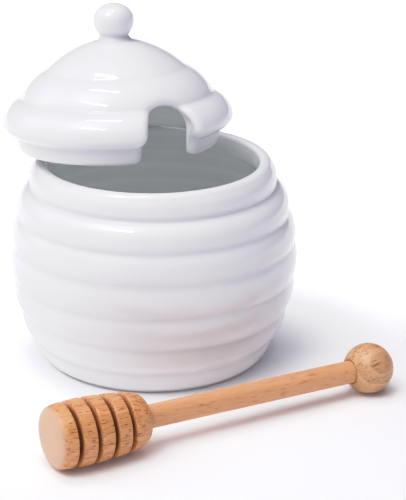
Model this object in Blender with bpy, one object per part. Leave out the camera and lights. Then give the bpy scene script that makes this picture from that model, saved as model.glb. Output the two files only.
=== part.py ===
"""Beehive honey pot: a ribbed porcelain jar, its notched lift-off lid and a beech dipper.

Metres, +Z up. The origin lies on the table under the middle of the whole set.
"""
import math

import bmesh
import bpy
from mathutils import Matrix, Vector

# Where the things stand: the jar's axis on the table, and the rest as steps from it
POT_AT = Vector((-0.01594, 0.02819, 0.0))
LID_FROM_POT = Vector((-0.0128, 0.0072, 0.07984))
LID_TURN = (math.radians(-4.8), math.radians(-1.9), 0.0)
BALL_FROM_POT = Vector((0.0786, -0.0384, 0.00918))
HEAD_FROM_POT = Vector((-0.0321, -0.1017, 0.01176))
CLEARANCE = 0.0003

# Jar: the ribs meet in grooves, listed upwards as radius and height, with each rib's swell
POT_GROOVES = [
    (0.0426, 0.0020),
    (0.0456, 0.0099),
    (0.0507, 0.0215),
    (0.0527, 0.0338),
    (0.0526, 0.0465),
    (0.0500, 0.0577),
    (0.0451, 0.0683),
    (0.0439, 0.0753),
]
POT_RIB_SWELLS = [0.0010, 0.0015, 0.0012, 0.0012, 0.0014, 0.0021, 0.0011]
RIM_TOP = [(0.0436, 0.0760), (0.0428, 0.0766), (0.0414, 0.0769), (0.0402, 0.0767)]
POT_INSIDE = [
    (0.0395, 0.0760),
    (0.0394, 0.0742),
    (0.0408, 0.0690),
    (0.0462, 0.0580),
    (0.0488, 0.0465),
    (0.0489, 0.0338),
    (0.0466, 0.0215),
    (0.0420, 0.0125),
    (0.0360, 0.0075),
]
POT_FLOOR = 0.0056
FLOOR_FLAT_RADIUS = 0.0270
FLOOR_DISH = 0.0003
FOOT_OUTER_RADIUS = 0.0405
FOOT_INNER_RADIUS = 0.0368
FOOT_RECESS = 0.0016
FOOT_COVE = 0.0012
FOOT_EDGE = 0.0004

# Lid: radius and height above the bottom edge of the flange that drops into the jar's mouth
FLANGE_FOOT_RADIUS = 0.0371
FLANGE_EDGE = 0.0008
LID_BEAD = [
    (0.0383, 0.0062),
    (0.0410, 0.0075),
    (0.0427, 0.0098),
    (0.0424, 0.0124),
    (0.0410, 0.0150),
    (0.0388, 0.0173),
    (0.0355, 0.0191),
]
LID_GROOVES = [LID_BEAD[-1], (0.0260, 0.0287), (0.0052, 0.0395)]
LID_SWELLS = [0.0013, 0.0016]
LID_INSIDE = [
    (0.0331, 0.0008),
    (0.0335, 0.0060),
    (0.0337, 0.0105),
    (0.0324, 0.0155),
    (0.0233, 0.0251),
    (0.0136, 0.0313),
    (0.0050, 0.0346),
]
LID_CEILING = 0.0352
KNOB_NECK_RADIUS = 0.0051
KNOB_RADIUS = 0.0074
KNOB_CROWN = 0.0062
KNOB_CENTRE = 0.0465
NOTCH_DIRECTION = math.radians(-58.5)
NOTCH_HALF_WIDTH = 0.0097
NOTCH_SPRING = 0.0098
NOTCH_FOOT = -0.0050
NOTCH_INNER_END = 0.0270
NOTCH_OUTER_END = 0.0500

# Dipper: lengths run from the head's flat end towards the ball
HEAD_LENGTH = 0.0353
HEAD_OUTLINE = [
    (0.0078, 0.0000),
    (0.0100, 0.0007),
    (0.0110, 0.0030),
    (0.0114, 0.0085),
    (0.0115, 0.0130),
    (0.0111, 0.0200),
    (0.0105, 0.0267),
    (0.0095, 0.0317),
    (0.0080, 0.0344),
    (0.0062, 0.0353),
]
HEAD_NOSE = (0.0007, 0.0018, 0.0036)
HEAD_NECK = (0.0322, 0.0338, 0.0348)
HEAD_GROOVES = 4
FIRST_GROOVE = 0.0068
GROOVE_PITCH = 0.00663
GROOVE_WIDTH = 0.0017
GROOVE_DEPTH = 0.0034
GROOVE_DRAFT = 0.0002
DOWEL_RADIUS = 0.00415
DOWEL_CHAMFER = 0.0005
HEAD_SOCKET = 0.0150
BALL_RADIUS = 0.0092
BALL_SOCKET = 0.0110

POT_SEGMENTS = 54
LID_SEGMENTS = 56
WOOD_SEGMENTS = 28
DOWEL_SEGMENTS = 20


def arc_points(start, end, swell, steps):
    """Points on a circular arc from start up to, but not including, end."""
    start, end = Vector(start), Vector(end)
    chord = (end - start).length
    along = (end - start) / chord
    outward = Vector((along.y, -along.x))
    radius = (chord * chord / 4 + swell * swell) / (2 * swell)
    half_angle = math.asin(chord / 2 / radius)
    points = []
    for step in range(steps):
        angle = half_angle * (2 * step / steps - 1)
        side = radius * math.cos(angle) - (radius - swell)
        points.append(start + along * (chord / 2 + radius * math.sin(angle)) + outward * side)
    return points


def curve_points(controls, steps):
    """A smooth line through the control points, with even steps between neighbours."""
    knots = [Vector(point) for point in controls]
    knots = [2 * knots[0] - knots[1]] + knots + [2 * knots[-1] - knots[-2]]
    points = []
    for first, a, b, last in zip(knots, knots[1:], knots[2:], knots[3:]):
        for step in range(steps):
            t = step / steps
            bend = (2 * first - 5 * a + 4 * b - last) * t * t
            twist = (3 * a - first - 3 * b + last) * t ** 3
            points.append((2 * a + (b - first) * t + bend + twist) / 2)
    points.append(knots[-2])
    return points


def ribbed_line(grooves, swells, steps):
    """The ribs' arcs one after another, from the first groove to the last."""
    points = []
    for start, end, swell in zip(grooves, grooves[1:], swells):
        points += arc_points(start, end, swell, steps)
    points.append(Vector(grooves[-1]))
    return points


def material(name, colour, roughness, coat=0.0):
    """A plain finish: colour, gloss and, on glazed ware, a clear coat."""
    finish = bpy.data.materials.new(name)
    finish.use_nodes = True
    shader = finish.node_tree.nodes["Principled BSDF"]
    shader.inputs["Base Color"].default_value = (*colour, 1.0)
    shader.inputs["Roughness"].default_value = roughness
    shader.inputs["Coat Weight"].default_value = coat
    return finish


def turned(name, profile, segments, finish, sharp_angle=35.0):
    """A turned solid: its half section, from axis to axis, spun about local Z."""
    shape = bmesh.new()
    verts = [shape.verts.new((radius, 0.0, height)) for radius, height in profile]
    edges = [shape.edges.new(pair) for pair in zip(verts, verts[1:])]
    bmesh.ops.spin(shape, geom=verts + edges, cent=(0, 0, 0), axis=(0, 0, 1),
                   angle=2 * math.pi, steps=segments, use_merge=True)
    bmesh.ops.remove_doubles(shape, verts=shape.verts, dist=0.000001)
    bmesh.ops.recalc_face_normals(shape, faces=shape.faces)
    mesh = bpy.data.meshes.new(name)
    shape.to_mesh(mesh)
    shape.free()
    mesh.shade_smooth()
    mesh.set_sharp_from_angle(angle=math.radians(sharp_angle))
    mesh.materials.append(finish)
    solid = bpy.data.objects.new(name, mesh)
    bpy.context.collection.objects.link(solid)
    return solid


def place_marker(name, location):
    """An empty that carries the pieces which move together."""
    marker = bpy.data.objects.new(name, None)
    marker.location = location
    bpy.context.collection.objects.link(marker)
    return marker


def pot_profile():
    """Half section of the jar, from under the middle of its base round to its floor."""
    base = [
        (0.0, FOOT_RECESS + FLOOR_DISH),
        (FOOT_INNER_RADIUS - FOOT_COVE, FOOT_RECESS),
        (FOOT_INNER_RADIUS, FOOT_EDGE),
        (FOOT_INNER_RADIUS + FOOT_EDGE, 0.0),
        (FOOT_OUTER_RADIUS - FOOT_EDGE, 0.0),
        (FOOT_OUTER_RADIUS, FOOT_EDGE),
    ]
    wall = ribbed_line(POT_GROOVES, POT_RIB_SWELLS, 5)
    inside = curve_points(POT_INSIDE, 2)
    floor = [(FLOOR_FLAT_RADIUS, POT_FLOOR + FLOOR_DISH), (0.0, POT_FLOOR)]
    return base + wall + RIM_TOP + inside + floor


def lid_profile():
    """Half section of the lid, from the flange's inner edge over the knob to its ceiling."""
    flange = [
        (LID_INSIDE[0][0] + FLANGE_EDGE, 0.0),
        (FLANGE_FOOT_RADIUS - FLANGE_EDGE, 0.0),
        (FLANGE_FOOT_RADIUS, FLANGE_EDGE),
    ]
    bead = curve_points(LID_BEAD, 2)[:-1]
    dome = ribbed_line(LID_GROOVES, LID_SWELLS, 5)
    knob = []
    start = math.asin(KNOB_NECK_RADIUS / KNOB_RADIUS)
    knob_steps = 8
    for step in range(knob_steps):
        angle = math.pi - start + (start - math.pi) * step / knob_steps
        side, rise = KNOB_RADIUS * math.sin(angle), math.cos(angle)
        rise *= KNOB_CROWN if rise > 0 else KNOB_RADIUS
        knob.append((side, KNOB_CENTRE + rise))
    knob.append((0.0, KNOB_CENTRE + KNOB_CROWN))
    inside = curve_points(LID_INSIDE, 2)
    hollow = [(0.0, LID_CEILING)] + inside[::-1]
    return knob[::-1] + dome[::-1] + bead[::-1] + flange[::-1] + hollow[::-1]


def head_radius(length):
    """Radius of the head's smooth outline at a length from its flat end."""
    outline = curve_points(HEAD_OUTLINE, 4)
    for near, far in zip(outline, outline[1:]):
        if near.y <= length <= far.y:
            return near.x + (far.x - near.x) * (length - near.y) / (far.y - near.y)
    return outline[-1].x


def head_profile():
    """Half section of the grooved head, from its flat end to the bottom of its socket."""
    profile = [(0.0, 0.0), (HEAD_OUTLINE[0][0], 0.0)]
    profile += [(head_radius(at), at) for at in HEAD_NOSE]
    for groove in range(HEAD_GROOVES):
        middle = FIRST_GROOVE + GROOVE_PITCH * groove
        near, far = middle - GROOVE_WIDTH / 2, middle + GROOVE_WIDTH / 2
        bottom = head_radius(middle) - GROOVE_DEPTH
        crown = far + (GROOVE_PITCH - GROOVE_WIDTH) / 2
        profile += [(head_radius(near), near), (bottom, near + GROOVE_DRAFT)]
        profile += [(bottom, far - GROOVE_DRAFT), (head_radius(far), far)]
        profile.append((head_radius(crown), crown))
    profile += [(head_radius(at), at) for at in HEAD_NECK]
    socket = DOWEL_RADIUS + CLEARANCE
    profile += [(HEAD_OUTLINE[-1][0], HEAD_LENGTH), (socket, HEAD_LENGTH)]
    profile += [(socket, HEAD_LENGTH - HEAD_SOCKET), (0.0, HEAD_LENGTH - HEAD_SOCKET)]
    return profile


def ball_profile():
    """Half section of the ball about its own centre, drilled from below for the dowel."""
    socket = DOWEL_RADIUS + CLEARANCE
    mouth = math.pi - math.asin(socket / BALL_RADIUS)
    steps = 13
    profile = [(0.0, BALL_RADIUS)]
    for step in range(1, steps + 1):
        angle = mouth * step / steps
        profile.append((BALL_RADIUS * math.sin(angle), BALL_RADIUS * math.cos(angle)))
    bottom = BALL_SOCKET - BALL_RADIUS
    return profile + [(socket, bottom), (0.0, bottom)]


def dowel_profile(start, end):
    """Half section of the handle, a plain dowel with chamfered ends."""
    inset = DOWEL_RADIUS - DOWEL_CHAMFER
    return [
        (0.0, start),
        (inset, start),
        (DOWEL_RADIUS, start + DOWEL_CHAMFER),
        (DOWEL_RADIUS, end - DOWEL_CHAMFER),
        (inset, end),
        (0.0, end),
    ]


def notch_cutter():
    """A round-headed tunnel, run outwards through the lid's bead and flange."""
    shape = bmesh.new()
    outline = [(-NOTCH_HALF_WIDTH, NOTCH_FOOT)]
    steps = 16
    for step in range(steps + 1):
        angle = math.pi - math.pi * step / steps
        side = NOTCH_HALF_WIDTH * math.cos(angle)
        outline.append((side, NOTCH_SPRING + NOTCH_HALF_WIDTH * math.sin(angle)))
    outline.append((NOTCH_HALF_WIDTH, NOTCH_FOOT))
    face = shape.faces.new([shape.verts.new((NOTCH_INNER_END, y, z)) for y, z in outline])
    pulled = bmesh.ops.extrude_face_region(shape, geom=[face])
    moved = [item for item in pulled["geom"] if isinstance(item, bmesh.types.BMVert)]
    reach = Vector((NOTCH_OUTER_END - NOTCH_INNER_END, 0, 0))
    bmesh.ops.translate(shape, verts=moved, vec=reach)
    bmesh.ops.recalc_face_normals(shape, faces=shape.faces)
    mesh = bpy.data.meshes.new("notch_cutter")
    shape.to_mesh(mesh)
    shape.free()
    cutter = bpy.data.objects.new("notch_cutter", mesh)
    bpy.context.collection.objects.link(cutter)
    cutter.rotation_euler = (0, 0, NOTCH_DIRECTION)
    cutter.hide_render = True
    cutter.display_type = "WIRE"
    return cutter


def build_pot(porcelain):
    """The jar stands on its foot ring."""
    pot = turned("pot", pot_profile(), POT_SEGMENTS, porcelain)
    pot.location = POT_AT


def build_lid(porcelain):
    """The lid leans ajar on the jar's rim, away from the notch for the dipper."""
    seat = place_marker("lid_seat", POT_AT + LID_FROM_POT)
    seat.rotation_euler = LID_TURN
    lid = turned("lid", lid_profile(), LID_SEGMENTS, porcelain)
    lid.parent = seat
    cutter = notch_cutter()
    cutter.parent = seat
    notch = lid.modifiers.new("Notch", "BOOLEAN")
    notch.operation = "DIFFERENCE"
    notch.object = cutter


def build_dipper(beech_head, beech_dowel, beech_ball):
    """The dipper lies on the table on its head and its ball."""
    head_end = POT_AT + HEAD_FROM_POT
    ball_centre = POT_AT + BALL_FROM_POT
    axis = (ball_centre - head_end).normalized()
    across = axis.cross(Vector((0, 0, -1))).normalized()
    down = across.cross(axis)
    marker = place_marker("dipper_axis", head_end)
    marker.rotation_euler = Matrix((down, across, axis)).transposed().to_euler()
    ball_at = (ball_centre - head_end).length
    dowel_start = HEAD_LENGTH - HEAD_SOCKET + CLEARANCE
    dowel_end = ball_at - BALL_RADIUS + BALL_SOCKET - CLEARANCE
    head = turned("dipper_head", head_profile(), WOOD_SEGMENTS, beech_head)
    dowel = turned("dipper_handle", dowel_profile(dowel_start, dowel_end), DOWEL_SEGMENTS,
                   beech_dowel)
    ball = turned("dipper_ball", ball_profile(), WOOD_SEGMENTS, beech_ball)
    ball.location = (0, 0, ball_at)
    for piece in (head, dowel, ball):
        piece.parent = marker


for leftover in list(bpy.data.objects):
    bpy.data.objects.remove(leftover, do_unlink=True)

glaze = material("white_glaze", (0.86, 0.87, 0.90), 0.10, coat=0.5)
build_pot(glaze)
build_lid(glaze)
build_dipper(
    material("beech_head", (0.60, 0.31, 0.13), 0.50),
    material("beech_dowel", (0.62, 0.32, 0.13), 0.45),
    material("beech_ball", (0.68, 0.40, 0.19), 0.50),
)
bpy.context.view_layer.update()
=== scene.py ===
import math

import bpy
import numpy as np
from mathutils import Matrix, Vector


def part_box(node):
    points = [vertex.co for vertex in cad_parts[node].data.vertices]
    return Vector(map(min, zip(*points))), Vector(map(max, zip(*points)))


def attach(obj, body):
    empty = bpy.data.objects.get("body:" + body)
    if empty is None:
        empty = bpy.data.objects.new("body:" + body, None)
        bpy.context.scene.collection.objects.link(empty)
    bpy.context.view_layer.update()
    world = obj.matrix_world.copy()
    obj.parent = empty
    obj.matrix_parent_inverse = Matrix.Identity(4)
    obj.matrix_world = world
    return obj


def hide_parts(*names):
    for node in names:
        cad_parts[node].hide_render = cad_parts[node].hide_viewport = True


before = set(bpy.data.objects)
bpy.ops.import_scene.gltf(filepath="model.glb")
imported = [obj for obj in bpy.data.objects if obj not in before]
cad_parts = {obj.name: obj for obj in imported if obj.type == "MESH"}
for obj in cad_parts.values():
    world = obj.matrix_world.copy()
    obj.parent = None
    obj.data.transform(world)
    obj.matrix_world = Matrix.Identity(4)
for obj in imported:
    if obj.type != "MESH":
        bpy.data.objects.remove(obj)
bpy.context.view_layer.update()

# Jar
# The real jar is one slip-cast porcelain body with seven soft ribs, a rolled rim and a turned foot ring.
# It is glazed white all over, thickly enough to round every groove, and wiped bare on the foot ring.
mm = 0.001
jar_low, jar_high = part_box("pot")
jar_axis = Vector(((jar_low.x + jar_high.x) / 2, (jar_low.y + jar_high.y) / 2, 0.0))
jar_grooves = [
    (42.6, 2.0), (45.7, 9.7), (50.3, 20.8), (52.6, 33.0),
    (52.6, 45.6), (50.2, 56.9), (45.3, 67.5), (43.8, 75.3),
]
jar_rib_swells = [0.6, 1.5, 1.3, 1.3, 1.5, 2.2, 1.2]
jar_rim = [(43.6, 76.0), (42.8, 76.6), (41.4, 76.9), (40.2, 76.7)]
jar_wall_inside = [
    (39.5, 76.0), (39.4, 74.2), (39.4, 69.8), (41.2, 67.2), (46.2, 58.0), (48.8, 46.5),
    (48.9, 33.8), (46.6, 21.5), (42.0, 12.5), (36.0, 7.5), (27.0, 5.9), (14.0, 5.6), (0.0, 5.6),
]
jar_foot = [(0.0, 1.9), (35.6, 1.6), (36.5, 1.2), (36.8, 0.4), (37.2, 0.0), (40.1, 0.0), (40.5, 0.4)]
jar_turns, rib_steps, jar_wall_steps = 144, 24, 12
jar_point_gap, jar_glaze_passes, jar_full_pool_and_shade = 0.45, 4, 0.20
pool_and_shade_spread, rim_width = 14, 2.0
bump_strength, bump_depth = 0.35, 0.6 * mm
biscuit_dark, biscuit_pale = (0.58, 0.54, 0.48, 1.0), (0.70, 0.67, 0.62, 1.0)


def rib(start, end, swell, steps):
    """A rib's outline: points on the arc from one groove up to, but not including, the next."""
    start, end = Vector(start), Vector(end)
    chord = (end - start).length
    along = (end - start) / chord
    outward = Vector((along.y, -along.x))
    radius = (chord * chord / 4 + swell * swell) / (2 * swell)
    half_angle = math.asin(chord / 2 / radius)
    points = []
    for step in range(steps):
        angle = half_angle * (2 * step / steps - 1)
        side = radius * math.cos(angle) - (radius - swell)
        points.append(start + along * (chord / 2 + radius * math.sin(angle)) + outward * side)
    return points


def flowing(controls, steps):
    """A smooth line through the control points, with even steps between neighbours."""
    knots = [Vector(point) for point in controls]
    knots = [2 * knots[0] - knots[1]] + knots + [2 * knots[-1] - knots[-2]]
    points = []
    for first, a, b, last in zip(knots, knots[1:], knots[2:], knots[3:]):
        for step in range(steps):
            t = step / steps
            bend = (2 * first - 5 * a + 4 * b - last) * t * t
            twist = (3 * a - first - 3 * b + last) * t ** 3
            points.append((2 * a + (b - first) * t + bend + twist) / 2)
    points.append(knots[-2])
    return points


def evenly(points, gap):
    """The same line with its points an even gap apart."""
    line = np.array([tuple(point) for point in points])
    run = np.concatenate([[0], np.cumsum(np.linalg.norm(np.diff(line, axis=0), axis=1))])
    marks = np.linspace(0, run[-1], int(run[-1] / gap) + 1)
    return np.column_stack([np.interp(marks, run, line[:, 0]), np.interp(marks, run, line[:, 1])])


def under_glaze(line, passes):
    """The line as the glaze leaves it: every pass draws each point halfway to its neighbours."""
    for _ in range(passes):
        line[1:-1] = line[1:-1] / 2 + (line[:-2] + line[2:]) / 4
    return line


def turned(name, section, turns):
    """Draws a half section in millimetres edge by edge, then spins it about the upright axis."""
    bpy.ops.object.select_all(action="DESELECT")
    bpy.ops.mesh.primitive_plane_add(size=mm)
    piece = bpy.context.object
    piece.name = name
    bpy.ops.object.mode_set(mode="EDIT")
    bpy.ops.mesh.merge(type="CENTER")
    bpy.ops.transform.translate(value=(section[0][0] * mm, 0, section[0][1] * mm))
    for near, far in zip(section, section[1:]):
        step = ((far[0] - near[0]) * mm, 0, (far[1] - near[1]) * mm)
        bpy.ops.mesh.extrude_vertices_move(TRANSFORM_OT_translate={"value": step})
    bpy.ops.mesh.select_all(action="SELECT")
    bpy.ops.mesh.spin(steps=turns, angle=2 * math.pi, center=(0, 0, 0), axis=(0, 0, 1))
    bpy.ops.mesh.select_all(action="SELECT")
    bpy.ops.mesh.remove_doubles(threshold=0.00001)
    bpy.ops.mesh.normals_make_consistent(inside=False)
    bpy.ops.object.mode_set(mode="OBJECT")
    bpy.ops.object.shade_smooth()
    return piece


def set_down(piece, place):
    """Puts a piece in its place in the set, and its place into its mesh."""
    bpy.ops.object.select_all(action="DESELECT")
    piece.select_set(True)
    bpy.context.view_layer.objects.active = piece
    piece.matrix_world = place
    bpy.ops.object.transform_apply(location=True, rotation=True, scale=True)


def places(piece):
    """The piece's points in millimetres, one row each."""
    points = np.empty(len(piece.data.vertices) * 3)
    piece.data.vertices.foreach_get("co", points)
    return points.reshape(-1, 3) / mm


def mark_glaze(piece, section, full_pool_and_shade, rim):
    """Writes how much glaze pools, with painted shade, at each point, from 0 to 1, and how far past the rim
    it lies, up to 1.
    """
    bend = np.zeros(len(section))
    before, after = section[1:-1] - section[:-2], section[2:] - section[1:-1]
    turn = np.arctan2(before[:, 0] * after[:, 1] - before[:, 1] * after[:, 0], (before * after).sum(1))
    bend[1:-1] = -turn / np.linalg.norm(after, axis=1)
    for _ in range(pool_and_shade_spread):
        bend[1:-1] = bend[1:-1] / 2 + (bend[:-2] + bend[2:]) / 4
    points = places(piece)
    rings = np.column_stack([np.hypot(points[:, 0], points[:, 1]), points[:, 2]])
    nearest = np.empty(len(rings), dtype=int)
    batch = 4000
    for start in range(0, len(rings), batch):
        part = rings[start:start + batch]
        nearest[start:start + batch] = ((part[:, None] - section[None]) ** 2).sum(2).argmin(1)
    past_rim = np.cumsum(np.linalg.norm(np.diff(section, axis=0, prepend=section[:1]), axis=1))
    past_rim -= past_rim[rim]
    for name, values in (("glaze_pool_and_shade", bend / full_pool_and_shade), ("glaze_within", past_rim / rim_width)):
        layer = piece.data.attributes.new(name, "FLOAT", "POINT")
        layer.data.foreach_set("value", np.clip(values[nearest], 0, 1))


def wire(tree, kind, sockets, **settings):
    """Adds a node, with its settings, and gives each named socket a value or a link."""
    made = tree.nodes.new(kind)
    for setting, value in settings.items():
        setattr(made, setting, value)
    for socket, value in sockets.items():
        if isinstance(value, bpy.types.NodeSocket):
            tree.links.new(value, made.inputs[socket])
        else:
            made.inputs[socket].default_value = value
    return made


def effect(name, takes, gives):
    """An empty node group with these inputs and outputs, and its two end nodes."""
    tree = bpy.data.node_groups.new(name, "ShaderNodeTree")
    for socket, (kind, value) in takes.items():
        made = tree.interface.new_socket(socket, in_out="INPUT", socket_type=kind)
        if value is not None:
            made.default_value = value
    for socket, kind in gives.items():
        tree.interface.new_socket(socket, in_out="OUTPUT", socket_type=kind)
    start = tree.nodes.new("NodeGroupInput").outputs
    end = tree.nodes.new("NodeGroupOutput").inputs
    return tree, start, end


def glaze_effect():
    """Clear glaze over white porcelain: cool where it pools, with painted shade in the grooves, faintly wavy,
    and with painted light inside the ware: paler, ringed and faintly glowing.
    """
    tree, start, end = effect(
        "glaze",
        {
            "Place": ("NodeSocketVector", None),
            "Pool and shade": ("NodeSocketFloat", 0.0),
            "Within": ("NodeSocketFloat", 0.0),
            "Thin": ("NodeSocketColor", (0.81, 0.805, 0.825, 1.0)),
            "Thick and shaded": ("NodeSocketColor", (0.725, 0.725, 0.765, 1.0)),
            "Inner painted light": ("NodeSocketColor", (0.95, 0.965, 0.96, 1.0)),
            "Painted glow": ("NodeSocketColor", (0.020, 0.022, 0.0225, 1.0)),
        },
        {"Color": "NodeSocketColor", "Painted glow": "NodeSocketColor", "Roughness": "NodeSocketFloat",
         "Height": "NodeSocketFloat"},
    )
    clouds = wire(tree, "ShaderNodeTexNoise", {"Vector": start["Place"], "Scale": 38.0, "Detail": 2.0})
    cloudy = wire(tree, "ShaderNodeMapRange", {"Value": clouds.outputs["Fac"], "From Min": 0.3,
                                               "From Max": 0.7, "To Min": -0.10, "To Max": 0.12})
    # Where the glaze pools in the grooves it turns cooler and darker: partly the glaze's own tint, partly
    # painted shade in the grooves.
    depth = wire(tree, "ShaderNodeMath", {0: start["Pool and shade"], 1: cloudy.outputs[0]}, operation="ADD",
                 use_clamp=True)
    colour = wire(tree, "ShaderNodeMix", {"Factor": depth.outputs[0], "A": start["Thin"],
                                          "B": start["Thick and shaded"]}, data_type="RGBA")
    # Inside, the colour rises and falls in rings by height: painted light and shade of faint throwing ridges.
    upright = wire(tree, "ShaderNodeSeparateXYZ", {"Vector": start["Place"]})
    painted_ring_noise = wire(tree, "ShaderNodeTexNoise", {"W": upright.outputs["Z"], "Scale": 260.0, "Detail": 1.0},
                  noise_dimensions="1D")
    painted_ring_shade = wire(tree, "ShaderNodeMapRange", {"Value": painted_ring_noise.outputs["Fac"], "From Min": 0.45,
                                              "From Max": 0.75, "To Min": 0.955, "To Max": 1.02})
    painted_rings = wire(tree, "ShaderNodeVectorMath", {0: start["Inner painted light"], 3: painted_ring_shade.outputs[0]},
                  operation="SCALE")
    # Past the rim the glaze turns to a lighter copy of itself: painted light that brightens the inside of the
    # ware.
    with_painted_light_inside = wire(tree, "ShaderNodeMix", {"Factor": start["Within"], "A": colour.outputs["Result"],
                                         "B": painted_rings.outputs[0]}, data_type="RGBA")
    tree.links.new(with_painted_light_inside.outputs["Result"], end["Color"])
    # Inside the ware the glaze glows faintly: a painted glow standing in for light that comes through the
    # translucent wall.
    painted_glow = wire(tree, "ShaderNodeMix", {"Factor": start["Within"], "A": (0.0, 0.0, 0.0, 1.0),
                                           "B": start["Painted glow"]}, data_type="RGBA")
    tree.links.new(painted_glow.outputs["Result"], end["Painted glow"])
    breath = wire(tree, "ShaderNodeTexNoise", {"Vector": start["Place"], "Scale": 120.0, "Detail": 3.0})
    rough = wire(tree, "ShaderNodeMapRange", {"Value": breath.outputs["Fac"], "From Min": 0.3,
                                              "From Max": 0.7, "To Min": 0.02, "To Max": 0.05})
    tree.links.new(rough.outputs[0], end["Roughness"])
    waves = wire(tree, "ShaderNodeTexNoise", {"Vector": start["Place"], "Scale": 70.0, "Detail": 1.0})
    peel = wire(tree, "ShaderNodeTexNoise", {"Vector": start["Place"], "Scale": 650.0, "Detail": 1.0})
    height = wire(tree, "ShaderNodeMix", {"Factor": 0.04, "A": waves.outputs["Fac"],
                                          "B": peel.outputs["Fac"]})
    tree.links.new(height.outputs["Result"], end["Height"])
    return tree


def shaded(name):
    """A material with its Principled shader, and the pieces' own coordinates."""
    finish = bpy.data.materials.new(name)
    finish.use_nodes = True
    tree = finish.node_tree
    return finish, tree, tree.nodes["Principled BSDF"], wire(tree, "ShaderNodeTexCoord", {}).outputs["Object"]


def dress(piece, finish, node, body):
    """Gives the piece its finish, and puts it in the CAD node's place on its body."""
    piece.data.materials.clear()
    piece.data.materials.append(finish)
    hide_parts(node)
    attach(piece, body)


glaze = glaze_effect()


def glazed(name):
    """A material under the clear glaze, with the coat and the coordinates that its piece may add to."""
    finish, tree, shader, place = shaded(name)
    pool_and_shade = wire(tree, "ShaderNodeAttribute", {}, attribute_name="glaze_pool_and_shade")
    within = wire(tree, "ShaderNodeAttribute", {}, attribute_name="glaze_within")
    coat = wire(tree, "ShaderNodeGroup", {"Place": place, "Pool and shade": pool_and_shade.outputs["Fac"],
                                          "Within": within.outputs["Fac"]}, node_tree=glaze)
    bump = wire(tree, "ShaderNodeBump", {"Height": coat.outputs["Height"], "Strength": bump_strength,
                                         "Distance": bump_depth})
    tree.links.new(coat.outputs["Color"], shader.inputs["Base Color"])
    tree.links.new(coat.outputs["Roughness"], shader.inputs["Roughness"])
    tree.links.new(bump.outputs["Normal"], shader.inputs["Normal"])
    # The coat's painted glow inside the ware goes to the emission.
    tree.links.new(coat.outputs["Painted glow"], shader.inputs["Emission Color"])
    shader.inputs["Emission Strength"].default_value = 1.0
    return finish, tree, shader, place, coat


jar_wall = []
for start, end, swell in zip(jar_grooves, jar_grooves[1:], jar_rib_swells):
    jar_wall += rib(start, end, swell, rib_steps)
jar_wall += [Vector(point) for point in jar_rim] + flowing(jar_wall_inside, jar_wall_steps)
jar_line = under_glaze(evenly([Vector(jar_foot[-1])] + jar_wall, jar_point_gap), jar_glaze_passes)
jar_section = np.concatenate([np.array(jar_foot[:-1]), jar_line])
jar = turned("jar", jar_section, jar_turns)
mark_glaze(jar, jar_section, jar_full_pool_and_shade, int(jar_section[:, 1].argmax()))
set_down(jar, Matrix.Translation(jar_axis))

jar_glaze, tree, shader, place, coat = glazed("jar_glaze")
height_of = wire(tree, "ShaderNodeSeparateXYZ", {"Vector": place})
bare = wire(tree, "ShaderNodeMapRange", {"Value": height_of.outputs["Z"], "From Min": 0.3 * mm,
                                         "From Max": 0.7 * mm, "To Min": 1.0, "To Max": 0.0})
grit = wire(tree, "ShaderNodeTexNoise", {"Vector": place, "Scale": 2500.0, "Detail": 2.0})
biscuit = wire(tree, "ShaderNodeMix", {"Factor": grit.outputs["Fac"], "A": biscuit_dark,
                                       "B": biscuit_pale}, data_type="RGBA")
colour = wire(tree, "ShaderNodeMix", {"Factor": bare.outputs[0], "A": coat.outputs["Color"],
                                      "B": biscuit.outputs["Result"]}, data_type="RGBA")
rough = wire(tree, "ShaderNodeMix", {"Factor": bare.outputs[0], "A": coat.outputs["Roughness"], "B": 0.8})
tree.links.new(colour.outputs["Result"], shader.inputs["Base Color"])
tree.links.new(rough.outputs["Result"], shader.inputs["Roughness"])
dress(jar, jar_glaze, "pot", "pot")

# Lid
# The real lid is cast in the same porcelain: a hollow dome in two soft tiers over a rolled bead, with a
# flange that drops into the jar's mouth. The notch is cut, and the knob luted on, before it is glazed.
lid_seat = jar_axis + Vector((-12.8, 7.2, 79.84)) * mm
lid_back, lid_left = math.radians(-4.8), math.radians(-1.9)
lid_bead = [(38.3, 6.2), (41.0, 7.5), (42.7, 9.8), (42.4, 12.4), (41.0, 15.0), (38.8, 17.3), (35.5, 19.1)]
lid_grooves = [lid_bead[-1], (26.0, 28.7), (5.2, 39.5)]
lid_tier_swells = [1.3, 1.6]
lid_flange = [(33.9, 0.0), (36.3, 0.0), (37.1, 0.8)]
lid_wall_inside = [(0.0, 35.2), (5.0, 34.6), (13.6, 31.3), (23.3, 25.1), (32.4, 15.5), (33.7, 10.5),
                   (33.5, 6.0), (33.1, 0.8)]
knob_neck, knob_radius, knob_crown, knob_height = 5.1, 7.4, 6.2, 46.5
notch_way = math.radians(-58.5)
notch_half_width, notch_spring, notch_reach = 9.7, 9.8, (27.0, 50.0)
notch_drop, notch_margin = 20.0, 4.0
notch_fillet, notch_inner_fillet = 3.5, 1.0
lid_turns, lid_form_turns, notch_turns, lid_voxel = 160, 480, 96, 0.5
lid_point_gap, lid_glaze_passes, lid_full_pool_and_shade = 0.4, 3, 0.24
bead_steps, lid_wall_steps, knob_steps, knob_glazed_steps = 10, 8, 32, 9
far_off = 99.0

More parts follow.
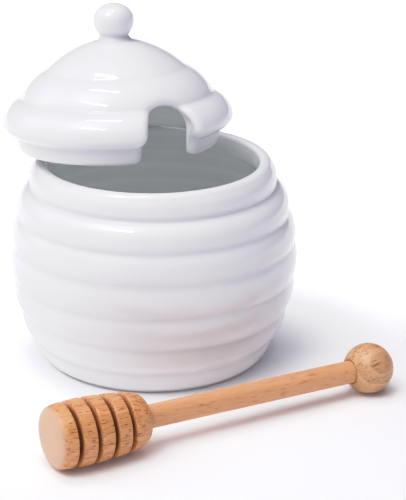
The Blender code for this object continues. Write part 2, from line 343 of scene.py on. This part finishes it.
lid_top = []
for start, end, swell in zip(lid_grooves, lid_grooves[1:], lid_tier_swells):
    lid_top += rib(start, end, swell, rib_steps)
neck_angle = math.asin(knob_neck / knob_radius)
knob = []
for step in range(knob_steps + 1):
    angle = (math.pi - neck_angle) * (1 - step / knob_steps)
    rise = math.cos(angle) * (knob_radius if math.cos(angle) < 0 else knob_crown)
    knob.append(Vector((knob_radius * math.sin(angle), knob_height + rise)))
lid_line = [Vector(point) for point in lid_flange] + flowing(lid_bead, bead_steps)[:-1] + lid_top
lid_line = under_glaze(evenly(lid_line + knob[:knob_glazed_steps], lid_point_gap), lid_glaze_passes)
lid_line = np.concatenate([lid_line, [tuple(point) for point in knob[knob_glazed_steps:]]])
lid_inside = [tuple(point) for point in flowing(lid_wall_inside, lid_wall_steps)]
lid_section = np.concatenate([lid_line, lid_inside, [lid_flange[0]]])
lid = turned("lid_ware", lid_section, lid_turns)
lid_form = turned("lid_form", lid_section, lid_form_turns)

bpy.ops.mesh.primitive_cylinder_add(vertices=notch_turns, radius=notch_half_width * mm,
                                    depth=(notch_reach[1] - notch_reach[0]) * mm,
                                    location=(sum(notch_reach) / 2 * mm, 0, 0),
                                    rotation=(0, math.pi / 2, 0))
notch = bpy.context.object
bpy.ops.object.transform_apply(location=True, rotation=True, scale=False)
for part in (*notch.data.polygons, *notch.data.edges):
    part.select = False
for point in notch.data.vertices:
    point.select = point.co.z < -0.1 * mm
bpy.ops.object.mode_set(mode="EDIT")
bpy.ops.mesh.select_mode(type="VERT")
bpy.ops.transform.resize(value=(1, 1, 0), center_override=(0, 0, 0))
bpy.ops.transform.translate(value=(0, 0, -notch_drop * mm))
bpy.ops.object.mode_set(mode="OBJECT")
set_down(notch, Matrix.Rotation(notch_way, 4, "Z") @ Matrix.Translation((0, 0, notch_spring * mm)))


def finish_with(piece, kind, **settings):
    """Adds a modifier with its settings and applies it."""
    bpy.context.view_layer.objects.active = piece
    step = piece.modifiers.new(kind.title(), kind)
    for setting, value in settings.items():
        setattr(step, setting, value)
    bpy.ops.object.modifier_apply(modifier=step.name)


def past_notch(points):
    """How far each point lies outside the notch's wall; far away for points on the lid's other side."""
    out = points[:, 0] * math.cos(notch_way) + points[:, 1] * math.sin(notch_way)
    across = points[:, 1] * math.cos(notch_way) - points[:, 0] * math.sin(notch_way)
    gap = np.hypot(across, np.maximum(points[:, 2] - notch_spring, 0)) - notch_half_width
    return np.where(out > notch_reach[0] - notch_margin, gap, far_off)


def skin_grid(line, r, z):
    """Distances from a grid of points to a line, and which points a closed line runs round."""
    near, inside = np.full(r.shape, far_off), np.zeros(r.shape, dtype=bool)
    for (ra, za), (rb, zb) in zip(line, line[1:]):
        run = max((rb - ra) ** 2 + (zb - za) ** 2, 1e-12)
        along = np.clip(((r - ra) * (rb - ra) + (z - za) * (zb - za)) / run, 0, 1)
        near = np.minimum(near, np.hypot(r - ra - along * (rb - ra), z - za - along * (zb - za)))
        if za != zb:
            inside ^= ((za > z) != (zb > z)) & (r < ra + (z - za) * (rb - ra) / (zb - za))
    return near, inside


grid_low, grid_high, grid_gap = (18.0, -8.0), (54.0, 40.0), 0.25
grid = np.meshgrid(np.arange(grid_low[0], grid_high[0], grid_gap),
                   np.arange(grid_low[1], grid_high[1], grid_gap), indexing="ij")
off_outside, _ = skin_grid(lid_section[:len(lid_line)], *grid)
off_inside, _ = skin_grid(lid_section[len(lid_line):-1], *grid)
off_line, within_line = skin_grid(lid_section, *grid)
lid_skin = np.where(within_line, -off_line, off_line)
outwards = off_inside / (off_inside + off_outside)
lid_fillet = notch_inner_fillet + (notch_fillet - notch_inner_fillet) * outwards


def off_skin(points):
    """How far each point lies off the notched lid with the notch's edges rounded, below 0 inside it."""
    spot = np.column_stack([np.hypot(points[:, 0], points[:, 1]), points[:, 2]])
    spot = np.clip((spot - grid_low) / grid_gap, 0, np.array(lid_skin.shape) - 1.001)
    (i, j), (u, v) = spot.astype(int).T, (spot % 1).T
    ware, fillet = ((values[i, j] * (1 - u) + values[i + 1, j] * u) * (1 - v)
                    + (values[i, j + 1] * (1 - u) + values[i + 1, j + 1] * u) * v
                    for values in (lid_skin, lid_fillet))
    cut = -past_notch(points)
    corner = np.hypot(np.maximum(ware + fillet, 0), np.maximum(cut + fillet, 0))
    return np.minimum(np.maximum(ware, cut), -fillet) + corner


def draw_to_skin(piece, passes):
    """Moves the points near the notch straight onto the rounded skin."""
    nudge, least_steep, longest_move = 0.15, 0.3, 0.8
    points = places(piece)
    near = np.abs(past_notch(points)) < notch_fillet + 2
    moved = points[near]
    for _ in range(passes):
        gap = off_skin(moved)
        slope = np.empty_like(moved)
        for axis, way in enumerate(np.eye(3) * nudge):
            slope[:, axis] = (off_skin(moved + way) - off_skin(moved - way)) / (2 * nudge)
        steep = np.maximum((slope ** 2).sum(1), least_steep)
        moved -= slope * np.clip(gap / steep, -longest_move, longest_move)[:, None]
    points[near] = moved
    piece.data.vertices.foreach_set("co", (points * mm).ravel())
    piece.data.update()


finish_with(lid, "BOOLEAN", operation="DIFFERENCE", object=notch, solver="EXACT")
finish_with(lid, "REMESH", mode="VOXEL", voxel_size=lid_voxel * mm)
rounded = lid.vertex_groups.new(name="rounded")
formed = lid.vertex_groups.new(name="formed")
for index, gap in enumerate(past_notch(places(lid))):
    rounded.add([index], 1.0 if abs(gap) < notch_fillet + 1 else 0.0, "REPLACE")
    formed.add([index], min(max(gap - notch_fillet, 0.0), 1.0), "REPLACE")
draw_to_skin(lid, 6)
finish_with(lid, "SMOOTH", factor=0.5, iterations=6, vertex_group="rounded")
draw_to_skin(lid, 3)
finish_with(lid, "SMOOTH", factor=0.5, iterations=4, vertex_group="rounded")
finish_with(lid, "SHRINKWRAP", target=lid_form, wrap_method="NEAREST_SURFACEPOINT", vertex_group="formed")
for leftover in (notch, lid_form):
    bpy.data.objects.remove(leftover, do_unlink=True)
bpy.ops.object.select_all(action="DESELECT")
lid.select_set(True)
bpy.ops.object.shade_smooth()
mark_glaze(lid, lid_section, lid_full_pool_and_shade, len(lid_line))
set_down(lid, Matrix.Translation(lid_seat) @ Matrix.Rotation(lid_left, 4, "Y")
         @ Matrix.Rotation(lid_back, 4, "X"))
dress(lid, glazed("lid_glaze")[0], "lid", "lid")

# Dipper head
# The real head is turned from its own piece of steamed beech, with four parallel grooves cut by a narrow
# tool, a flat end with a worn edge, and a blind hole that the handle is glued into.
head_end = jar_axis + Vector((-32.1, -101.7, 11.76)) * mm
ball_centre = jar_axis + Vector((78.6, -38.4, 9.18)) * mm
dipper_way = (ball_centre - head_end).normalized()
dipper_side = dipper_way.cross(Vector((0, 0, -1))).normalized()
dipper_turn = Matrix((dipper_side.cross(dipper_way), dipper_side, dipper_way)).transposed().to_4x4()
dipper_place = Matrix.Translation(head_end) @ dipper_turn
head_length, socket_depth, socket_radius = 35.3, 15.0, 4.45
head_outline = [(7.8, 0.0), (10.0, 0.7), (11.0, 3.0), (11.4, 8.5), (11.5, 13.0), (11.1, 20.0),
                (10.5, 26.7), (9.5, 31.7), (8.0, 34.4), (6.2, 35.3)]
groove_count, first_groove, groove_pitch, groove_width, groove_depth = 4, 6.8, 6.63, 1.8, 3.4
groove_edge, groove_edge_out = 0.30, 0.12
head_turns, head_steps, head_point_gap = 96, 16, 0.25
# The second colour is the grooves' dark red-brown: partly the wood's own, partly painted shade.
end_grain_tan, burnt_and_shaded_brown = (0.63, 0.38, 0.25, 1.0), (0.12, 0.03, 0.012, 1.0)

head_outside = np.array([tuple(point) for point in flowing(head_outline, head_steps)])
head_section = [(0.0, 0.0), (4.0, 0.0)]
grooves = [first_groove + groove_pitch * number for number in range(groove_count)]
for radius, length in evenly(head_outside, head_point_gap):
    depth = 0.0
    for middle in grooves:
        inside = (groove_width / 2 + groove_edge_out - abs(length - middle)) / groove_edge
        depth = max(depth, groove_depth * min(max(inside, 0), 1))
    head_section.append((radius - depth, length))
head_section += [(socket_radius, head_length), (socket_radius, head_length - socket_depth),
                 (0.0, head_length - socket_depth)]
head = turned("head", head_section, head_turns)


def mark_cuts(piece, outline, cuts):
    """Writes how deep each point lies in a groove, in millimetres, before the piece is set down."""
    layer = piece.data.attributes.new("cut_depth", "FLOAT", "POINT")
    for point, value in zip(piece.data.vertices, layer.data):
        length, radius = point.co.z / mm, math.hypot(point.co.x, point.co.y) / mm
        if min(abs(length - middle) for middle in cuts) < groove_width and radius > socket_radius + 1.0:
            value.value = max(0.0, np.interp(length, outline[:, 1], outline[:, 0]) - radius)


mark_cuts(head, head_outside, grooves)
set_down(head, dipper_place)


def beech_effect():
    """Steamed beech: rings about a far pith, short dark ray flecks along the fibre, and fine pores."""
    tree, start, end = effect(
        "beech",
        {
            "Place": ("NodeSocketVector", None),
            "Early": ("NodeSocketColor", (0.72, 0.40, 0.18, 1.0)),
            "Late": ("NodeSocketColor", (0.58, 0.27, 0.10, 1.0)),
            "Fleck": ("NodeSocketColor", (0.28, 0.09, 0.03, 1.0)),
            "Fleckiness": ("NodeSocketFloat", 0.5),
            "Streakiness": ("NodeSocketFloat", 0.5),
        },
        {"Color": "NodeSocketColor", "Roughness": "NodeSocketFloat", "Height": "NodeSocketFloat"},
    )
    drift = wire(tree, "ShaderNodeTexNoise", {"Vector": start["Place"], "Scale": 45.0, "Detail": 2.0})
    swayed = wire(tree, "ShaderNodeVectorMath", {0: drift.outputs["Color"], 1: (0.006, 0.006, 0.0)},
                  operation="MULTIPLY")
    pith = wire(tree, "ShaderNodeVectorMath", {0: start["Place"], 1: (0.021, 0.034, 0.0)}, operation="ADD")
    bent = wire(tree, "ShaderNodeVectorMath", {0: pith.outputs[0], 1: swayed.outputs[0]}, operation="ADD")
    flat = wire(tree, "ShaderNodeVectorMath", {0: bent.outputs[0], 1: (1.0, 1.0, 0.04)},
                operation="MULTIPLY")
    rings = wire(tree, "ShaderNodeTexWave", {"Vector": flat.outputs[0], "Scale": 95.0,
                                             "Distortion": 1.2, "Detail": 2.0, "Detail Scale": 1.5},
                 wave_type="RINGS", rings_direction="Z", wave_profile="SAW")
    fibre_way = wire(tree, "ShaderNodeVectorMath", {0: start["Place"], 1: (1500.0, 1500.0, 110.0)},
                     operation="MULTIPLY")
    fibre = wire(tree, "ShaderNodeTexNoise", {"Vector": fibre_way.outputs[0], "Scale": 1.0, "Detail": 3.0})
    tone = wire(tree, "ShaderNodeMix", {"Factor": 0.55, "A": rings.outputs["Fac"],
                                        "B": fibre.outputs["Fac"]})
    wood = wire(tree, "ShaderNodeMix", {"Factor": tone.outputs["Result"], "A": start["Early"],
                                        "B": start["Late"]}, data_type="RGBA")
    streak_way = wire(tree, "ShaderNodeVectorMath", {0: start["Place"], 1: (1500.0, 1500.0, 230.0)},
                      operation="MULTIPLY")
    strokes = wire(tree, "ShaderNodeTexNoise", {"Vector": streak_way.outputs[0], "Scale": 1.0, "Detail": 1.5})
    thin = wire(tree, "ShaderNodeMapRange", {"Value": strokes.outputs["Fac"], "From Min": 0.54,
                                             "From Max": 0.70})
    crowd = wire(tree, "ShaderNodeTexNoise", {"Vector": start["Place"], "Scale": 130.0, "Detail": 1.0})
    crowded = wire(tree, "ShaderNodeMapRange", {"Value": crowd.outputs["Fac"], "From Min": 0.35,
                                                "From Max": 0.62, "To Min": 0.25, "To Max": 1.0})
    some = wire(tree, "ShaderNodeMath", {0: thin.outputs[0], 1: crowded.outputs[0]}, operation="MULTIPLY")
    streak = wire(tree, "ShaderNodeMath", {0: some.outputs[0], 1: start["Streakiness"]},
                  operation="MULTIPLY")
    streaked = wire(tree, "ShaderNodeMix", {"Factor": streak.outputs[0], "A": wood.outputs["Result"],
                                            "B": start["Fleck"]}, data_type="RGBA")
    fleck_way = wire(tree, "ShaderNodeVectorMath", {0: start["Place"], 1: (1600.0, 1600.0, 400.0)},
                     operation="MULTIPLY")
    cells = wire(tree, "ShaderNodeTexVoronoi", {"Vector": fleck_way.outputs[0], "Scale": 1.0})
    lens = wire(tree, "ShaderNodeMapRange", {"Value": cells.outputs["Distance"], "From Min": 0.18,
                                             "From Max": 0.42, "To Min": 1.0, "To Max": 0.0})
    pick = wire(tree, "ShaderNodeSeparateColor", {"Color": cells.outputs["Color"]})
    patches = wire(tree, "ShaderNodeTexNoise", {"Vector": start["Place"], "Scale": 170.0, "Detail": 1.0})
    chance = wire(tree, "ShaderNodeMath", {0: start["Fleckiness"], 1: patches.outputs["Fac"]},
                  operation="MULTIPLY")
    chosen = wire(tree, "ShaderNodeMath", {0: pick.outputs["Red"], 1: chance.outputs[0]},
                  operation="LESS_THAN")
    fleck = wire(tree, "ShaderNodeMath", {0: lens.outputs[0], 1: chosen.outputs[0]}, operation="MULTIPLY")
    flecked = wire(tree, "ShaderNodeMix", {"Factor": fleck.outputs[0], "A": streaked.outputs["Result"],
                                           "B": start["Fleck"]}, data_type="RGBA")
    tree.links.new(flecked.outputs["Result"], end["Color"])
    rough = wire(tree, "ShaderNodeMapRange", {"Value": fibre.outputs["Fac"], "From Min": 0.3,
                                              "From Max": 0.7, "To Min": 0.30, "To Max": 0.50})
    tree.links.new(rough.outputs[0], end["Roughness"])
    dips = wire(tree, "ShaderNodeMath", {0: fibre.outputs["Fac"], 1: fleck.outputs[0]},
                operation="SUBTRACT")
    tree.links.new(dips.outputs[0], end["Height"])
    return tree


beech = beech_effect()


def beech_finish(name, place_on_wood, early, late, fleck, fleckiness, streakiness):
    """A beech material whose fibres run along the wood's own upright axis, with what a piece may add to."""
    finish, tree, shader, place = shaded(name)
    along = wire(tree, "ShaderNodeMapping", {"Vector": place, "Location": place_on_wood.translation,
                                             "Rotation": place_on_wood.to_euler()}, vector_type="TEXTURE")
    figure = wire(tree, "ShaderNodeGroup", {"Place": along.outputs[0], "Early": (*early, 1.0),
                                            "Late": (*late, 1.0), "Fleck": (*fleck, 1.0),
                                            "Fleckiness": fleckiness, "Streakiness": streakiness},
                  node_tree=beech)
    bump = wire(tree, "ShaderNodeBump", {"Height": figure.outputs["Height"], "Strength": 0.4,
                                         "Distance": 0.2 * mm})
    tree.links.new(figure.outputs["Color"], shader.inputs["Base Color"])
    tree.links.new(figure.outputs["Roughness"], shader.inputs["Roughness"])
    tree.links.new(bump.outputs["Normal"], shader.inputs["Normal"])
    return finish, tree, shader, figure, along


head_beech, tree, shader, figure, along = beech_finish(
    "head_beech", dipper_place, early=(0.80, 0.375, 0.155), late=(0.60, 0.23, 0.07),
    fleck=(0.28, 0.07, 0.02), fleckiness=0.5, streakiness=1.0)
reach = wire(tree, "ShaderNodeSeparateXYZ", {"Vector": along.outputs[0]})
end_on = wire(tree, "ShaderNodeMapRange", {"Value": reach.outputs["Z"], "From Min": 0.5 * mm,
                                           "From Max": 1.6 * mm, "To Min": 0.9, "To Max": 0.0})
end_grain = wire(tree, "ShaderNodeMix", {"Factor": end_on.outputs[0], "A": figure.outputs["Color"],
                                         "B": end_grain_tan}, data_type="RGBA")
# The grooves darken towards their bottoms: partly the wood's own darker cut end grain, partly painted shade
# in the grooves.
cut = wire(tree, "ShaderNodeAttribute", {}, attribute_name="cut_depth")
burnt_and_shaded = wire(tree, "ShaderNodeMapRange", {"Value": cut.outputs["Fac"], "From Min": 0.5, "From Max": 2.4,
                                          "To Min": 0.0, "To Max": 0.9})
scorched_and_shaded = wire(tree, "ShaderNodeMix", {"Factor": burnt_and_shaded.outputs[0], "A": end_grain.outputs["Result"],
                                        "B": burnt_and_shaded_brown}, data_type="RGBA")
tree.links.new(scorched_and_shaded.outputs["Result"], shader.inputs["Base Color"])
dress(head, head_beech, "dipper_head", "dipper")

# Dipper handle
# The real handle is a plain beech dowel of about 8 mm, cut from another plank than the head. It is sanded
# along its length, its ends are eased, and it is glued into the head and the ball.
ball_radius, ball_socket, dowel_radius, glue_gap = 9.2, 11.0, 4.15, 0.3
dowel_chamfer, dowel_turns, dowel_rings = 0.5, 64, 42
handle_plank = Matrix.Translation((6 * mm, -4 * mm, 0))
ball_reach = (ball_centre - head_end).length / mm
dowel_start = head_length - socket_depth + glue_gap
dowel_end = ball_reach - ball_radius + ball_socket - glue_gap
dowel_section = [(0.0, dowel_start), (dowel_radius - dowel_chamfer, dowel_start)]
dowel_section += [(dowel_radius, mark) for mark in np.linspace(dowel_start + dowel_chamfer,
                                                               dowel_end - dowel_chamfer, dowel_rings)]
dowel_section += [(dowel_radius - dowel_chamfer, dowel_end), (0.0, dowel_end)]
handle = turned("handle", dowel_section, dowel_turns)
set_down(handle, dipper_place)
handle_beech = beech_finish(
    "handle_beech", dipper_place @ handle_plank, early=(0.80, 0.40, 0.20), late=(0.63, 0.275, 0.11),
    fleck=(0.38, 0.13, 0.04), fleckiness=0.04, streakiness=0.55)[0]
dress(handle, handle_beech, "dipper_handle", "dipper")

# Dipper ball
# The real ball is a paler turned beech bead with a blind hole, from a third plank with darker streaks. It is
# glued on the handle's end as a stop and a grip.
ball_steps, ball_turns = 48, 96
mouth_angle = math.pi - math.asin(socket_radius / ball_radius)
ball_section = [(0.0, ball_radius)]
for step in range(1, ball_steps + 1):
    angle = mouth_angle * step / ball_steps
    ball_section.append((ball_radius * math.sin(angle), ball_radius * math.cos(angle)))
ball_section += [(socket_radius, ball_socket - ball_radius), (0.0, ball_socket - ball_radius)]
ball = turned("ball", ball_section, ball_turns)
ball_place = Matrix.Translation(ball_centre) @ dipper_turn
set_down(ball, ball_place)
ball_beech = beech_finish(
    "ball_beech", ball_place, early=(0.74, 0.42, 0.22), late=(0.50, 0.235, 0.10),
    fleck=(0.20, 0.065, 0.025), fleckiness=0.25, streakiness=1.0)[0]
dress(ball, ball_beech, "dipper_ball", "dipper")

# Studio
# The set stands on a seamless white table, lit as a backdrop behind the jar, in a white tent that is lit most
# from high on the left and open on the right. Two narrow softboxes draw the streaks on the glaze.
table_size, table_drop = 9.0, 0.02 * mm
backdrop_near, backdrop_far = 0.03, 0.10
backdrop_dim, backdrop_glow = 0.05, 0.42
bpy.ops.mesh.primitive_plane_add(size=table_size, location=(0, 0, -table_drop))
table = bpy.context.object
table.name = "table"
table_white, tree, shader, place = shaded("table_white")
depth = wire(tree, "ShaderNodeSeparateXYZ", {"Vector": place})
lit_back = wire(tree, "ShaderNodeMapRange", {"Value": depth.outputs["Y"], "From Min": backdrop_near,
                                             "From Max": backdrop_far, "To Min": backdrop_dim,
                                             "To Max": backdrop_glow})
shader.inputs["Base Color"].default_value = (0.935, 0.935, 0.945, 1.0)
shader.inputs["Roughness"].default_value = 0.7
shader.inputs["Specular IOR Level"].default_value = 0.1
shader.inputs["Emission Color"].default_value = (1.0, 1.0, 1.0, 1.0)
tree.links.new(lit_back.outputs[0], shader.inputs["Emission Strength"])
table.data.materials.append(table_white)


def toward(azimuth, elevation):
    """The way from the set to a light; azimuth 0 is the camera's side, and grows to the right."""
    a, e = math.radians(azimuth), math.radians(elevation)
    return Vector((math.sin(a) * math.cos(e), -math.cos(a) * math.cos(e), math.sin(e)))


def softbox(name, size, azimuth, elevation, watts):
    """A narrow area light that faces the middle of the jar and is not in the picture."""
    lamp = bpy.data.lights.new(name, "AREA")
    lamp.shape = "RECTANGLE"
    lamp.size, lamp.size_y = size
    lamp.energy = watts
    box = bpy.data.objects.new(name, lamp)
    bpy.context.collection.objects.link(box)
    away = toward(azimuth, elevation)
    box.location = softbox_aim + away * softbox_distance
    box.rotation_euler = away.to_track_quat("Z", "Y").to_euler()
    box.visible_camera = False


softbox_aim, softbox_distance = Vector((0, 0, 70 * mm)), 1.2
softbox("window_box", size=(0.50, 0.06), azimuth=-39, elevation=57, watts=2.0)
softbox("top_box", size=(0.07, 0.45), azimuth=-116, elevation=78, watts=1.6)

tent_panels = [
    (-55, 57, 5.0),
    (-20, 70, 1.8),
    (60, 75, 1.1),
    (180, 78, 1.9),
    (-105, 25, 1.8),
]
panel_softness = 14.0
horizon_glow, horizon_narrowness = 0.7, 12.0
tent_opening, opening_edge = 105, (0.35, 0.8)
tent_white, tent_blue = (0.883, 0.876, 0.866), (0.0, 0.0, 0.07)
world = bpy.data.worlds.new("tent")
bpy.context.scene.world = world
world.use_nodes = True
tree = world.node_tree
outlook = wire(tree, "ShaderNodeTexCoord", {}).outputs["Generated"]
glow = 0.0
for azimuth, elevation, strength in tent_panels:
    facing = wire(tree, "ShaderNodeVectorMath", {0: outlook, 1: toward(azimuth, elevation)},
                  operation="DOT_PRODUCT")
    ahead = wire(tree, "ShaderNodeMath", {0: facing.outputs["Value"], 1: 0.0}, operation="MAXIMUM")
    panel = wire(tree, "ShaderNodeMath", {0: ahead.outputs[0], 1: panel_softness}, operation="POWER")
    glow = wire(tree, "ShaderNodeMath", {0: panel.outputs[0], 1: strength, 2: glow},
                operation="MULTIPLY_ADD").outputs[0]
outlook_parts = wire(tree, "ShaderNodeSeparateXYZ", {"Vector": outlook})
level = wire(tree, "ShaderNodeMath", {0: outlook_parts.outputs["Z"]}, operation="ABSOLUTE")
low = wire(tree, "ShaderNodeMath", {0: 1.0, 1: level.outputs[0]}, operation="SUBTRACT")
band = wire(tree, "ShaderNodeMath", {0: low.outputs[0], 1: horizon_narrowness}, operation="POWER")
at_opening = wire(tree, "ShaderNodeVectorMath", {0: outlook, 1: toward(tent_opening, 0)},
                  operation="DOT_PRODUCT")
walls = wire(tree, "ShaderNodeMapRange", {"Value": at_opening.outputs["Value"],
                                          "From Min": opening_edge[0], "From Max": opening_edge[1],
                                          "To Min": horizon_glow, "To Max": 0.0})
horizon = wire(tree, "ShaderNodeMath", {0: band.outputs[0], 1: walls.outputs[0], 2: glow},
               operation="MULTIPLY_ADD")
warm = wire(tree, "ShaderNodeVectorMath", {0: tent_white, 3: horizon.outputs[0]}, operation="SCALE")
cool = wire(tree, "ShaderNodeVectorMath", {0: warm.outputs[0], 1: tent_blue}, operation="ADD")
tree.links.new(cool.outputs[0], tree.nodes["Background"].inputs["Color"])

# Camera
# A long lens looks down on the set from the front, as in the photograph, and a tone curve keeps the light
# greys of the glaze apart, as film does, under a backdrop that burns out to white.
frame_long_side = 500
lens_pixels = 1838.3
camera_from_jar = Vector((18.52, -648.6, 283.7)) * mm
camera_dip, camera_roll = 0.3589, 0.0018
film_white = 1.30
film_tones = [(0.5, 0.5), (0.7, 0.69), (0.88, 0.80), (1.0, 0.845), (1.12, 0.88), (1.22, 0.95)]
camera = bpy.data.objects.new("camera", bpy.data.cameras.new("camera"))
bpy.context.collection.objects.link(camera)
camera.data.sensor_width = 36.0
camera.data.lens = lens_pixels * camera.data.sensor_width / frame_long_side
camera.matrix_world = (Matrix.Translation(jar_axis + camera_from_jar)
                       @ Matrix.Rotation(math.pi / 2 - camera_dip, 4, "X")
                       @ Matrix.Rotation(camera_roll, 4, "Z"))
camera.data.clip_start = 0.05
bpy.context.scene.camera = camera
view = bpy.context.scene.view_settings
view.view_transform = "Standard"
view.use_curve_mapping = True
view.curve_mapping.white_level = (film_white, film_white, film_white)
film = view.curve_mapping.curves[3].points
film[-1].location = (1.0, 1.0)
for light, tone in film_tones:
    film.new(light / film_white, tone)
view.curve_mapping.update()
